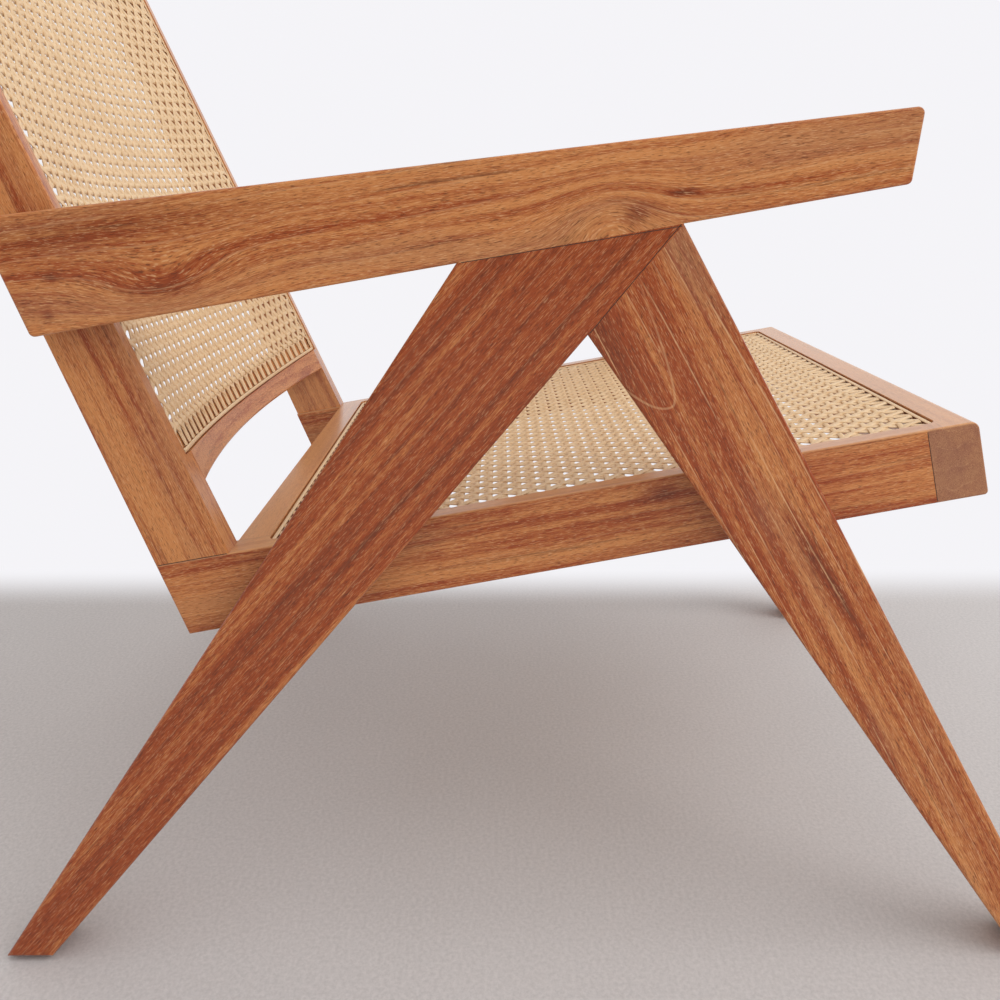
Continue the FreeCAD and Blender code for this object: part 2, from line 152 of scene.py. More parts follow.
# Joint lines: how close a corner lies to the face and to the other board, then depth, width and bevel
ON_FACE = 0.03 * MM
AT_JOINT = 2.6 * MM
JOINT_DEPTH = 0.10 * MM
JOINT_WIDTH = 0.55 * MM
JOINT_BEVEL = 0.03 * MM

# The stage: size of the floor, the light's aim, where reflections are behind the camera, and their level
FLOOR_SPAN = 14.0
LIGHT_AIM = (0.0, 0.0, 0.35)
BEHIND_CAMERA = (0.1, -0.7)
DUSK = 0.2
# The floor's flecks: clouds and grit in turns per metre, with their swing, and how dark a fleck is
FLOOR_CLOUD = (5.0, 0.6)
FLOOR_GRIT = (330.0, 3.2)
FLOOR_FLECK = 0.84
# The floor's middle, and the distances between which it turns white
FLOOR_MIDDLE = -0.3
FLOOR_ROUND = (1.0, 2.4)
FLOOR_FAR_SIDE = (0.29, 0.42)
FLOOR_MIRRORED = (0.3, -0.2)

# Swirls, dark marks and pale tongues of single boards, by their place along and across the grain
ARM_FIGURE = {
    "right": {
        "swirls": ((0.180, 0.486, 0.036, 0.022, -0.021), (-0.110, 0.478, 0.050, 0.022, 0.018)),
        "marks": ((0.197, 0.4825, 0.009, 0.006, 0.75), (0.228, 0.492, 0.010, 0.0022, 0.80),
                  (-0.178, 0.494, 0.004, 0.003, 0.60), (-0.184, 0.470, 0.004, 0.003, 0.60),
                  (-0.150, 0.521, 0.110, 0.011, 0.55), (-0.108, 0.478, 0.020, 0.006, 0.45)),
    },
    "left": {
        "swirls": ((0.060, 0.500, 0.060, 0.024, 0.016), (0.290, 0.505, 0.045, 0.020, -0.014)),
        "marks": ((0.066, 0.496, 0.012, 0.004, 0.5),),
    },
}
FRONT_LEG_FIGURE = {
    "right": {
        "marks": ((0.135, -0.349, 0.034, 0.004, 0.66), (0.098, -0.353, 0.034, 0.003, 0.60),
                  (0.335, -0.296, 0.050, 0.008, 0.35)),
        "tongues": ((0.2648, -0.313, 150.0, 0.65, 0.34),),
    },
    "left": {"marks": ((0.210, -0.330, 0.040, 0.003, 0.70),)},
}


# What a user would change

def length(label, note, default):
    """A length property in metres."""
    return FloatProperty(name=label, description=note, default=default, unit="LENGTH", precision=5)


def colour(label, note, default):
    """A colour property in linear light."""
    return FloatVectorProperty(name=label, description=note, default=default, subtype="COLOR",
                               min=0.0, max=1.0)


def spaces(label, note, default):
    """A count of hole spaces."""
    return IntProperty(name=label, description=note, default=default, min=8)


class CHAIR_PG_teak(bpy.types.PropertyGroup):
    """Colours of the oiled teak."""

    gold: colour("Gold", "Pale golden wood between the growth lines", (0.60, 0.235, 0.072))
    russet: colour("Russet", "Red-brown wood of the darker boards", (0.330, 0.058, 0.010))
    umber: colour("Umber", "Dark mineral streaks along the grain", (0.085, 0.022, 0.009))
    mauve: colour("Mauve", "Greyish wood beside the dark streaks", (0.30, 0.140, 0.080))
    fleck: colour("Fleck", "Pale filled pores", (0.74, 0.43, 0.21))


class CHAIR_PG_cane(bpy.types.PropertyGroup):
    """Sizes and colours of the six-way cane weave."""

    seat_columns: spaces("Seat columns", "Hole spaces across the seat", 30)
    seat_rows: spaces("Seat rows", "Hole spaces from front to rear", 22)
    back_columns: spaces("Back columns", "Hole spaces across the back", 30)
    back_rows: spaces("Back rows", "Hole spaces up the back", 21)
    spread: FloatProperty(name="Pair spread", description="Half the distance of a pair, in hole spaces",
                          default=0.24, min=0.1, max=0.4)
    strand: length("Strand width", "Width of the lengthwise and crosswise strands", 3.7 * MM)
    diagonal: length("Diagonal width", "Width of the diagonal strands", 3.6 * MM)
    thickness: length("Strand thickness", "Thickness of a strand at its crown", 1.15 * MM)
    lift: length("Lift", "How far a strand rises over or dips under the middle of the weave", 1.05 * MM)
    hole: length("Hole", "Diameter of the holes that the strands go through", 5.0 * MM)
    binder: length("Binder width", "Width of the strip that lies beside the holes", 3.0 * MM)
    straw: colour("Straw", "Pale strands", (0.83, 0.61, 0.375))
    honey: colour("Honey", "Darker strands", (0.65, 0.415, 0.205))


class CHAIR_PG_stage(bpy.types.PropertyGroup):
    """Camera, light and floor."""

    camera: FloatVectorProperty(name="Camera", description="Where the camera stands",
                                subtype="TRANSLATION", unit="LENGTH",
                                default=(-0.9093, -0.0402, 0.5152))
    pitch: FloatProperty(name="Pitch", description="How far the camera looks down",
                         subtype="ANGLE", default=math.radians(4.95))
    turn: FloatProperty(name="Turn", description="How far the camera turns from square on",
                        subtype="ANGLE", default=math.radians(-0.36))
    lens: FloatProperty(name="Lens", description="Focal length in millimetres", default=35.28, min=10.0)
    shift: FloatVectorProperty(name="Shift", description="Framing of the camera", size=2,
                               default=(-0.005, -0.217))
    floor: colour("Floor", "Pale floor", (0.62, 0.585, 0.575))
    window: FloatProperty(name="Window", description="Power of the large soft light",
                          default=42.0, min=0.0)
    fill: FloatProperty(name="Fill", description="Power of the soft light beside the camera",
                        default=8.0, min=0.0)
    sky: FloatProperty(name="Sky", description="Level of the light from all around",
                       default=0.80, min=0.0)


# Shader graphs written as expressions

class Value:
    """A shader socket, and the Math nodes that Python's operators add to it."""

    def __init__(self, finish, socket):
        self.finish = finish
        self.socket = socket

    def math(self, operation, *terms):
        """The result of one Math node."""
        return self.finish.node("ShaderNodeMath", {"operation": operation}, dict(enumerate(terms)))

    def __add__(self, other):
        return self.math("ADD", self, other)

    def __sub__(self, other):
        return self.math("SUBTRACT", self, other)

    def __mul__(self, other):
        return self.math("MULTIPLY", self, other)

    def __truediv__(self, other):
        return self.math("DIVIDE", self, other)

    def __pow__(self, other):
        return self.math("POWER", self, other)

    def __mod__(self, other):
        return self.math("MODULO", self, other)

    def __abs__(self):
        return self.math("ABSOLUTE", self)

    def __rsub__(self, other):
        return self.math("SUBTRACT", other, self)

    def __rtruediv__(self, other):
        return self.math("DIVIDE", other, self)

    def __rpow__(self, other):
        return self.math("POWER", other, self)

    __radd__ = __add__
    __rmul__ = __mul__


class Finish:
    """A node material, written top down."""

    def __init__(self, name, owner=None):
        self.owner = owner or bpy.data.materials.new(name)
        self.owner.use_nodes = True
        self.tree = self.owner.node_tree
        self.tree.nodes.clear()

    def node(self, kind, settings=None, sockets=None, out=0):
        """Add a node, set it up, feed its sockets, and give back one of its outputs."""
        made = self.tree.nodes.new(kind)
        for key, setting in (settings or {}).items():
            setattr(made, key, setting)
        for key, given in (sockets or {}).items():
            if isinstance(given, Value):
                self.tree.links.new(given.socket, made.inputs[key])
            else:
                made.inputs[key].default_value = given
        return Value(self, made.outputs[out]) if made.outputs else None

    def place(self):
        """Object coordinates of the piece."""
        return self.node("ShaderNodeTexCoord", out="Object")

    def along(self, place, axis):
        """Distance along an axis, in metres."""
        return self.node("ShaderNodeVectorMath", {"operation": "DOT_PRODUCT"},
                         {0: place, 1: axis}, "Value")

    def noise(self, x, y, z, detail=2.0, roughness=0.5):
        """Soft noise, 0 to 1, at a point given by three values."""
        point = self.node("ShaderNodeCombineXYZ", None, {0: x, 1: y, 2: z})
        return self.node("ShaderNodeTexNoise", None,
                         {"Vector": point, "Scale": 1.0, "Detail": detail, "Roughness": roughness})

    def rise(self, value, low, high):
        """A smooth step from 0 at low to 1 at high."""
        return self.node("ShaderNodeMapRange", {"interpolation_type": "SMOOTHSTEP"},
                         {"Value": value, "From Min": low, "From Max": high})

    def blend(self, factor, first, second):
        """One colour giving way to another."""
        return self.node("ShaderNodeMix", {"data_type": "RGBA", "clamp_factor": True},
                         {0: factor, 6: rgba(first), 7: rgba(second)}, 2)

    def bump(self, height, strength, distance):
        """A bumped normal."""
        return self.node("ShaderNodeBump", None,
                         {"Height": height, "Strength": strength, "Distance": distance})

    def surface(self, **sockets):
        """Close the graph with a Principled surface."""
        named = {key.replace("_", " "): rgba(given) if key == "Base_Color" else given
                 for key, given in sockets.items()}
        self.output(self.node("ShaderNodeBsdfPrincipled", None, named))
        return self.owner

    def output(self, shader):
        """Show a shader."""
        self.node("ShaderNodeOutputWorld" if isinstance(self.owner, bpy.types.World)
                  else "ShaderNodeOutputMaterial", None, {"Surface": shader})


def rgba(given):
    """A colour with its alpha, or a link as it is."""
    return given if isinstance(given, Value) else (*given, 1.0)


# Finishes

def grain_axes(lean):
    """Along the grain, across it and through the board, for a board in the plane of a side frame."""
    return (0.0, -math.cos(lean), math.sin(lean)), (0.0, math.sin(lean), math.cos(lean)), (1.0, 0.0, 0.0)


def crosswise_axes(lean):
    """The same for a rail that runs across the chair."""
    return (1.0, 0.0, 0.0), (0.0, -math.cos(lean), math.sin(lean)), (0.0, math.sin(lean), math.cos(lean))


def teak(name, axes, red, pith, drift=0.02, ring=0.010, lines=0.2, wave=0.010, streaks=0.5, flecks=0.5,
         mauve=0.3, bleached=0.0, worn=0.0, upper=None, ends=0.0, gloss=0.70,
         swirls=(), marks=(), tongues=()):
    """Oiled teak sawn from a log whose heart lies beside the board."""
    colours = bpy.context.scene.chair_teak
    wood = Finish(name)
    place = wood.place()
    u, v, w = (wood.along(place, axis) for axis in axes)

    def near(at_u, at_v, half_length, half_width):
        """1 at a spot of the face, falling to 0 round it."""
        return math.e ** (0.0 - ((u - at_u) / half_length) ** 2.0 - ((v - at_v) / half_width) ** 2.0)

    def layer(kind, across):
        """One layer of the figure, 0 to 1, drawn out along the grain."""
        along, over, detail, roughness = FIGURE[kind]
        return wood.noise(u * along, across * over, w * over, detail, roughness)

    # The grain bends round each swirl, and wanders by itself
    flow = v + wave * (layer("wander", v) - 0.5)
    for *spot, push in swirls:
        flow = flow + push * near(*spot)

    # Growth rings are circles about the heart, which drifts away along the board
    radius = ((flow - pith[0] - drift * u) ** 2.0 + (w - pith[1]) ** 2.0) ** 0.5
    ring_place = (radius / ring + layer("unrest", flow) * RING_STRAY) % 1.0
    late = ring_place ** 2.0 * wood.rise(ring_place, 1.0, LATE_END)
    broken = wood.rise(layer("gaps", flow), *SHOWS["gaps"])
    crest = wood.rise(ring_place, LINE_START, LINE_CREST) * wood.rise(ring_place, 1.0, LINE_CREST)
    line = crest * broken

    # Bands, stripes and streaks along the grain, then single fibres and pores
    band, stripe, fibre, pores = (layer(kind, flow) for kind in ("band", "stripe", "fibre", "pores"))
    streak, grey = (wood.rise(layer(kind, flow), *SHOWS[kind]) for kind in ("streak", "grey"))
    pale, dark = (wood.rise(pores, *SHOWS[kind]) for kind in ("pale", "dark"))

    # Gold to russet to umber, then what lies over it
    tone = (red + SWING["band"] * (band - 0.5) + SWING["stripe"] * (stripe - 0.5)
            + SWING["late"] * (late - LATE_MEAN) + SWING["fibre"] * (fibre - 0.5))
    for *spot, depth in marks:
        tone = tone + MARK_RED * depth * near(*spot)
    body = wood.blend(tone, colours.gold, colours.russet)
    body = wood.blend(OVERSHOOT * (tone - 1.0), body, colours.umber)
    body = wood.blend(grey * mauve, body, colours.mauve)
    body = wood.blend(streak * streaks, body, colours.umber)
    for *spot, depth in marks:
        body = wood.blend(near(*spot) * (streak + fibre) * (MARK_DARK * depth), body, colours.umber)
    if ends:
        cut = wood.rise(abs(u), *(ends - skin for skin in END_SKIN))
        body = wood.blend(END_GREY * cut, body, colours.mauve)
    body = wood.blend(dark * PORE_DARK, body, colours.umber)
    body = wood.blend(pale * flecks, body, colours.fleck)
    body = wood.blend(line * lines, body, colours.fleck)
    if bleached:
        body = wood.blend(bleached, body, colours.fleck)
    # Upper faces are painted paler towards the fleck colour: a painted highlight standing in for the
    # light from above
    if upper:
        direction, height = upper
        top = wood.rise(wood.along(place, direction), *(height - skin for skin in UPPER_SKIN))
        body = wood.blend(worn * top, body, colours.fleck)
    for at_u, at_v, bend, skew, strength in tongues:
        across = v - at_v
        curve = bend * (1.0 - skew * across.math("SIGN", across)) * across
        off = abs(u - at_u - curve * across) / (1.0 + (2.0 * curve) ** 2.0) ** 0.5
        legs = wood.rise(u, *(at_u + reach for reach in TONGUE_LEGS)) * strength
        body = wood.blend(wood.rise(off, *TONGUE_LINE) * legs, body, colours.fleck)

    polish = 0.30 + 0.14 * fibre + 0.05 * late
    relief = wood.bump(fibre * 0.5 + pores, 0.10, 0.4 * MM)
    return wood.surface(Base_Color=body, Roughness=polish, Specular_IOR_Level=0.12, Coat_Weight=gloss,
                        Coat_Roughness=0.16, Normal=relief)


def cane(name, along, across):
    """Split rattan: straw to honey from strand to strand, with fine fibres and a hard, waxy skin."""
    colours = bpy.context.scene.chair_cane
    skin = Finish(name)
    place = skin.place()
    u = skin.along(place, along)
    v = skin.along(place, across)
    strand, patch, fibre = (skin.noise(u * lengthways, v * sideways, slice_at, detail)
                            for lengthways, sideways, slice_at, detail in CANE_FIGURE.values())
    tone = (CANE_TONE + CANE_SWING["strand"] * (strand - 0.5) + CANE_SWING["patch"] * (patch - 0.5)
            + CANE_SWING["fibre"] * (fibre - 0.5))
    return skin.surface(Base_Color=skin.blend(tone, colours.straw, colours.honey),
                        Roughness=0.36 + 0.2 * fibre, Normal=skin.bump(fibre, 0.15, 0.2 * MM))


def plain_finish(name, first, second, scale, roughness):
    """A quiet two-tone mottle for small hidden and dark pieces."""
    mottle = Finish(name)
    x, y, z = (mottle.along(mottle.place(), axis) for axis in ((1, 0, 0), (0, 1, 0), (0, 0, 1)))
    cloud = mottle.noise(x * scale, y * scale, z * scale, 3.0)
    return mottle.surface(Base_Color=mottle.blend(mottle.rise(cloud, 0.3, 0.7), first, second),
                          Roughness=roughness + 0.15 * cloud, Normal=mottle.bump(cloud, 0.1, 0.3 * MM))


def corners(node):
    """The corners of a node of the frame."""
    board = bpy.data.objects[node]
    return [board.matrix_world @ corner.co for corner in board.data.vertices]


def upper_face(rail):
    """The way that the upper face of a seat rail looks, and how far out it lies, for the painted
    highlight on it.
    """
    _, direction, _ = grain_axes(SEAT_TILT)
    return direction, max(Vector(direction).dot(corner) for corner in corners(rail))


def coat(node, material):
    """Give a node of the frame its finish."""
    slots = bpy.data.objects[node].material_slots
    if not slots:
        raise RuntimeError(f"{node} has no material slot")
    for slot in slots:
        slot.material = material


def oil(board, axes, **figure):
    """Give a board of the frame a teak of its own."""
    coat(board, teak(board + "_teak", axes, **figure))


# The weave

class Panel:
    """A woven panel laid flat: x across the chair, y from its first hole line, z towards the sitter."""

    def __init__(self, name, columns, rows, width, first, last, turn,
                 hollow=0.0, clear=0.0, slotted=False):
        self.name = name
        self.columns = columns
        self.rows = rows
        run = last - first
        self.across = (width - 2.0 * HOLE_INSET) / columns
        self.along = (run.length - 2.0 * HOLE_INSET) / rows
        self.origin = first + run.normalized() * HOLE_INSET
        self.turn = turn
        self.hollow = hollow
        self.clear = clear
        self.slotted = slotted

    def face(self, x):
        """Height of the rails' face at x, and the angle at which it climbs there."""
        if not self.hollow or abs(x) >= self.clear:
            return 0.0, 0.0
        radius = (self.clear ** 2 + self.hollow ** 2) / (2.0 * self.hollow)
        reach = math.sqrt(radius ** 2 - x ** 2)
        return radius - self.hollow - reach, math.atan2(x, reach)

    def spot(self, column, row, height):
        """A point of the panel, counted in hole spaces, and the angle of the face there."""
        x = (column - self.columns / 2) * self.across
        level, climb = self.face(x)
        return Vector((x, row * self.along, level + height)), climb

    def axis(self, x, y):
        """A direction of the panel in the chair's frame."""
        flat = Vector((x, y * math.cos(self.turn), y * math.sin(self.turn)))
        return tuple(flat.normalized())


def seat_panel():
    """The seat's panel, on top of the rails."""
    low, high = (Vector(corner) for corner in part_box("seat_cane"))
    settings = bpy.context.scene.chair_cane
    front = Vector((0.0, low.y, high.z - CANE_SHEET * math.cos(SEAT_TILT)))
    rear = Vector((0.0, high.y - CANE_SHEET * math.sin(SEAT_TILT), low.z))
    return Panel("seat", settings.seat_columns, settings.seat_rows, high.x - low.x, front, rear,
                 -SEAT_TILT)


def back_panel():
    """The back's panel, on the front of the bowed rails and the stiles."""
    low, high = (Vector(corner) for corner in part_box("back_cane"))
    settings = bpy.context.scene.chair_cane
    sine, cosine = math.sin(BACK_LEAN), math.cos(BACK_LEAN)
    foot = Vector((0.0, low.y + CANE_SHEET * cosine, low.z + BACK_BOW * sine))
    head = Vector((0.0, high.y - BACK_BOW * cosine, high.z - CANE_SHEET * sine))
    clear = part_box("back_stile_left")[0][0]
    return Panel("back", settings.back_columns, settings.back_rows, high.x - low.x, foot, head,
                 RIGHT_ANGLE - BACK_LEAN, BACK_BOW, clear, slotted=True)


def only(obj):
    """Select one object and nothing else."""
    bpy.ops.object.select_all(action="DESELECT")
    obj.select_set(True)
    bpy.context.view_layer.objects.active = obj


def lay_in_place(obj, panel):
    """Move a piece made flat onto its panel, and put that place in its mesh."""
    only(obj)
    obj.location = panel.origin
    obj.rotation_euler = (panel.turn, 0.0, 0.0)
    bpy.ops.object.transform_apply(location=True, rotation=True, scale=True)


def strand_section(width, thickness):
    """Section of split rattan: flat below, crowned above."""
    half, rim = width / 2, thickness / 2
    profile = ((-half, -rim), (-half, SHOULDER * rim), (-CROWN * half, rim),
               (CROWN * half, rim), (half, SHOULDER * rim), (half, -rim))
    outline = bpy.data.curves.new("strand_section", "CURVE")
    spline = outline.splines.new("POLY")
    spline.points.add(len(profile) - 1)
    for point, (x, y) in zip(spline.points, profile):
        point.co = (x, y, 0.0, 1.0)
    spline.use_cyclic_u = True
    section = bpy.data.objects.new("strand_section", outline)
    bpy.context.collection.objects.link(section)
    return section


def weave(name, panel, paths, width, material, lean):
    """Run a strand of split rattan along each path, and make the strands one piece."""
    settings = bpy.context.scene.chair_cane
    section = strand_section(width, settings.thickness)
    run = bpy.data.curves.new(name, "CURVE")
    run.dimensions = "3D"
    run.twist_mode = "Z_UP"
    run.bevel_mode = "OBJECT"
    run.bevel_object = section
    run.use_fill_caps = True
    middle = settings.lift + settings.thickness / 2
    for path in paths:
        spline = run.splines.new("POLY")
        spline.points.add(len(path) - 1)
        for point, (column, row, height) in zip(spline.points, path):
            place, climb = panel.spot(column, row, middle + height)
            point.co = (*place, 1.0)
            point.tilt = -climb * lean
    piece = bpy.data.objects.new(name, run)
    bpy.context.collection.objects.link(piece)
    only(piece)
    bpy.ops.object.convert(target="MESH")
    bpy.data.objects.remove(section)
    bpy.ops.object.mode_set(mode="EDIT")
    bpy.ops.mesh.select_all(action="SELECT")
    bpy.ops.mesh.remove_doubles(threshold=MERGE_WITHIN)
    bpy.ops.mesh.normals_make_consistent(inside=False)
    bpy.ops.object.mode_set(mode="OBJECT")
    lay_in_place(piece, panel)
    bpy.ops.object.shade_smooth_by_angle(angle=SMOOTH_BELOW)
    piece.data.materials.clear()
    piece.data.materials.append(material)
    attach(piece, BODY)
    return piece


def paired_paths(panel, crosswise, chance):
    """Two strands from each hole to the one opposite, over and under the pairs that cross them."""
    settings = bpy.context.scene.chair_cane
    lanes, stations = (panel.rows, panel.columns) if crosswise else (panel.columns, panel.rows)
    lane_space, space = (panel.along, panel.across) if crosswise else (panel.across, panel.along)
    grip = GRIP / space
    rim, end = (share * settings.hole / space for share in (TURN_DOWN, STRAND_END))
    first_over = 1.0 if crosswise else -1.0
    sunk = -settings.lift - HOLE_DEPTH
    low = BORDER_LEVEL * settings.lift
    lengthwise_border = SLOTTED_BORDER if panel.slotted else PLAIN_BORDER
    gather, closed, opened = CROSSWISE_BORDER if crosswise else lengthwise_border
    paths = []
    for hole in range(1, lanes):
        for side in (-1, 1):
            lane = hole + side * settings.spread + chance.uniform(-PAIR_STRAY, PAIR_STRAY) / lane_space
            mouth = hole + side * gather * settings.spread
            path = [(mouth, end, sunk), (mouth, rim, low), (mouth, closed, low), (lane, opened, low)]
            for station in range(1, stations):
                for turn in (-1, 1):
                    cross = station + turn * settings.spread
                    level = first_over * side * turn * settings.lift
                    path += [(lane, cross - grip, level), (lane, cross + grip, level)]
            path += [(lane, stations - opened, low), (mouth, stations - closed, low),
                     (mouth, stations - rim, low), (mouth, stations - end, sunk)]
            paths.append([(b, a, h) if crosswise else (a, b, h) for a, b, h in path])
    return paths


def diagonal_paths(panel, rising, chance):
    """Single strands from hole to hole across the corners of the lattice."""
    settings = bpy.context.scene.chair_cane
    level = (-DIAGONAL_LEVEL if rising else DIAGONAL_LEVEL) * settings.lift
    sunk = -settings.lift - HOLE_DEPTH
    rim, end = (share * settings.hole / panel.along for share in (TURN_DOWN, STRAND_END))
    paths = []

    def sideways(row):
        """How far a strand has gone sideways at a row. In a slotted border it keeps to its pair."""
        if panel.slotted and row < 1.0:
            return max(LEAN_WITH_PAIR * row, 1.0 - LEAVE_PAIR * (1.0 - row))
        if panel.slotted and row > panel.rows - 1.0:
            return panel.rows - sideways(panel.rows - row)
        return row

    for start in range(1 - panel.rows, panel.columns):
        low, high = max(0, -start), min(panel.rows, panel.columns - start)
        stray = chance.uniform(-DIAGONAL_STRAY, DIAGONAL_STRAY) / panel.across
        steps = [(low + end, sunk), (low + rim, 0.0)]
        steps += [(low + quarter / 4, level if quarter % 2 == 0 else 0.0)
                  for quarter in range(1, 4 * (high - low))]
        steps += [(high - rim, 0.0), (high - end, sunk)]
        columns = [start + sideways(row) + stray for row, height in steps]
        if not rising:
            columns = [panel.columns - column for column in columns]
        paths.append([(column, row, height) for column, (row, height) in zip(columns, steps)])
    return paths


def binder_paths(panel, crosswise):
    """A narrow strip along two opposite edges, between the holes and the rails."""
    settings = bpy.context.scene.chair_cane
    height = BINDER_LEVEL * settings.lift
    out_x, out_y = (HOLE_INSET / 2 / space for space in (panel.across, panel.along))
    if crosswise:
        return [[(column / 2, row, height) for column in range(2 * panel.columns + 1)]
                for row in (-out_y, panel.rows + out_y)]
    return [[(column, row, height) for row in range(panel.rows + 1)]
            for column in (-out_x, panel.columns + out_x)]


def weave_panel(panel, node, seed):
    """All four settings of strands on one panel, and the binders round it."""
    settings = bpy.context.scene.chair_cane
    chance = random.Random(seed)
    slant = (panel.across, panel.along)
    lean = panel.along / math.hypot(*slant)
    along, across = panel.axis(0.0, 1.0), panel.axis(1.0, 0.0)
    pieces = [
        weave(panel.name + "_lengthwise_cane", panel, paired_paths(panel, False, chance),
              settings.strand, cane(panel.name + "_lengthwise_rattan", along, across), 1.0),
        weave(panel.name + "_crosswise_cane", panel, paired_paths(panel, True, chance),
              settings.strand, cane(panel.name + "_crosswise_rattan", across, along), 0.0),
    ]
    for rising, side in ((True, 1.0), (False, -1.0)):
        word = "rising" if rising else "falling"
        direction = panel.axis(side * slant[0], slant[1])
        beside = panel.axis(slant[1], -side * slant[0])
        skin = cane(f"{panel.name}_{word}_rattan", direction, beside)
        pieces.append(weave(f"{panel.name}_{word}_cane", panel, diagonal_paths(panel, rising, chance),
                            settings.diagonal, skin, lean))
    pieces += [
        weave(panel.name + "_side_binders", panel, binder_paths(panel, False), settings.binder,
              cane(panel.name + "_side_binder_rattan", along, across), 1.0),
        weave(panel.name + "_end_binders", panel, binder_paths(panel, True), settings.binder,
              cane(panel.name + "_end_binder_rattan", across, along), 0.0),
    ]
    for piece in pieces:
        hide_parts(node)


# Joint lines

def joint_line(first, second, outer):
    """The two ends of the line where two boards meet on the outer face of their frame."""
    ours, theirs = corners(first), corners(second)
    shared = [point for point in ours if abs(point.x - outer) < ON_FACE
              and min((point - other).length for other in theirs) < AT_JOINT]
    pairs = ((one, two) for one in shared for two in shared)
    return max(pairs, key=lambda ends: (ends[1] - ends[0]).length)


def draw_joint_line(name, ends, outer, material):
    """A hair-thin dark line of glue and oil along a joint."""
    start, stop = ends
    run = stop - start
    bpy.ops.object.select_all(action="DESELECT")
    bpy.ops.mesh.primitive_cube_add(size=1.0)
    piece = bpy.context.active_object
    piece.name = name
    piece.scale = (JOINT_DEPTH, run.length, JOINT_WIDTH)
    piece.rotation_euler = (math.atan2(run.z, run.y), 0.0, 0.0)
    piece.location = (outer, *((start + stop) / 2).yz)
    bpy.ops.object.transform_apply(location=True, rotation=True, scale=True)
    bpy.ops.object.mode_set(mode="EDIT")
    bpy.ops.mesh.select_all(action="SELECT")
    bpy.ops.mesh.bevel(offset=JOINT_BEVEL, segments=1)
    bpy.ops.object.mode_set(mode="OBJECT")
    piece.data.materials.append(material)
    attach(piece, BODY)


# Operators

class CHAIR_OT_finish_side_frames(bpy.types.Operator):
    """Give the arms and legs their teak, each board with its own figure"""

    bl_idname = "lounge_chair.finish_side_frames"
    bl_label = "Finish side frames"

    def execute(self, context):
        for side, heart in (("right", -0.33), ("left", 0.34)):
            oil(f"arm_{side}", grain_axes(ARM_GRAIN), red=0.30, pith=(0.56, heart), wave=0.022,
                lines=0.25, streaks=0.6, **ARM_FIGURE[side])
            oil(f"rear_leg_{side}", grain_axes(REAR_LEG_GRAIN), red=1.15, pith=(0.05, heart), drift=0.01,
                wave=0.006, flecks=0.34, mauve=0.0)
            oil(f"front_leg_{side}", grain_axes(FRONT_LEG_GRAIN), red=0.60, pith=(-0.50, heart),
                drift=0.03, lines=0.65, flecks=0.42, mauve=0.45, **FRONT_LEG_FIGURE[side])
        return {"FINISHED"}


class CHAIR_OT_finish_seat_frame(bpy.types.Operator):
    """Give the rails of the seat their teak"""

    bl_idname = "lounge_chair.finish_seat_frame"
    bl_label = "Finish seat frame"

    def execute(self, context):
        # The rails' upper faces get a painted highlight, paler wood that stands in for the light from
        # above
        for side, heart in (("right", -0.30), ("left", 0.31)):
            rail = f"seat_side_rail_{side}"
            oil(rail, grain_axes(SEAT_TILT), red=0.52, pith=(0.05, heart), wave=0.008, streaks=0.55,
                marks=((0.205, 0.282, 0.014, 0.006, 0.6),), worn=0.5, upper=upper_face(rail))
        oil("seat_front_rail", crosswise_axes(SEAT_TILT), red=0.26, pith=(0.44, -0.30), wave=0.006,
            ring=0.014, lines=0.16, streaks=0.3, flecks=0.35, mauve=0.2,
            ends=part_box("seat_front_rail")[1][0], worn=0.45, upper=upper_face("seat_front_rail"))
        oil("seat_rear_rail", crosswise_axes(SEAT_TILT), red=0.36, pith=(-0.05, -0.22), wave=0.006,
            streaks=0.4, flecks=0.45, worn=0.45, upper=upper_face("seat_rear_rail"))
        return {"FINISHED"}


class CHAIR_OT_finish_back_frame(bpy.types.Operator):
    """Give the stiles and rails of the back their teak"""

    bl_idname = "lounge_chair.finish_back_frame"
    bl_label = "Finish back frame"

    def execute(self, context):
        for side, heart, red, bleached in (("right", -0.30, 0.24, 0.0), ("left", 0.31, 0.05, 0.2)):
            oil(f"back_stile_{side}", grain_axes(STILE_GRAIN), red=red, pith=(-0.25, heart), wave=0.008,
                flecks=0.45, bleached=bleached)
        for rail, heart, bleached, gloss in (("top", (0.10, 0.80), 0.05, 0.70),
                                             ("bottom", (-0.05, 0.30), 0.10, 0.20)):
            oil(f"back_{rail}_rail", crosswise_axes(BACK_LEAN), red=0.16, pith=heart, wave=0.008,
                streaks=0.45, flecks=0.4, mauve=0.1, bleached=bleached, gloss=gloss)
        return {"FINISHED"}


class CHAIR_OT_finish_joinery(bpy.types.Operator):
    """Give the hidden tenons and dowels their bare wood, and the glides their dark nylon"""

    bl_idname = "lounge_chair.finish_joinery"
    bl_label = "Finish joinery and glides"

    def execute(self, context):
        bare = plain_finish("bare_hardwood", (0.52, 0.34, 0.19), (0.40, 0.25, 0.13),
                            scale=220.0, roughness=0.6)
        nylon = plain_finish("dark_nylon", (0.030, 0.024, 0.021), (0.055, 0.046, 0.040),
                             scale=500.0, roughness=0.45)
        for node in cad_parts:
            if node.endswith(("_tenons", "_dowels")):
                coat(node, bare)
            if node.startswith("glide_"):
                coat(node, nylon)
        return {"FINISHED"}


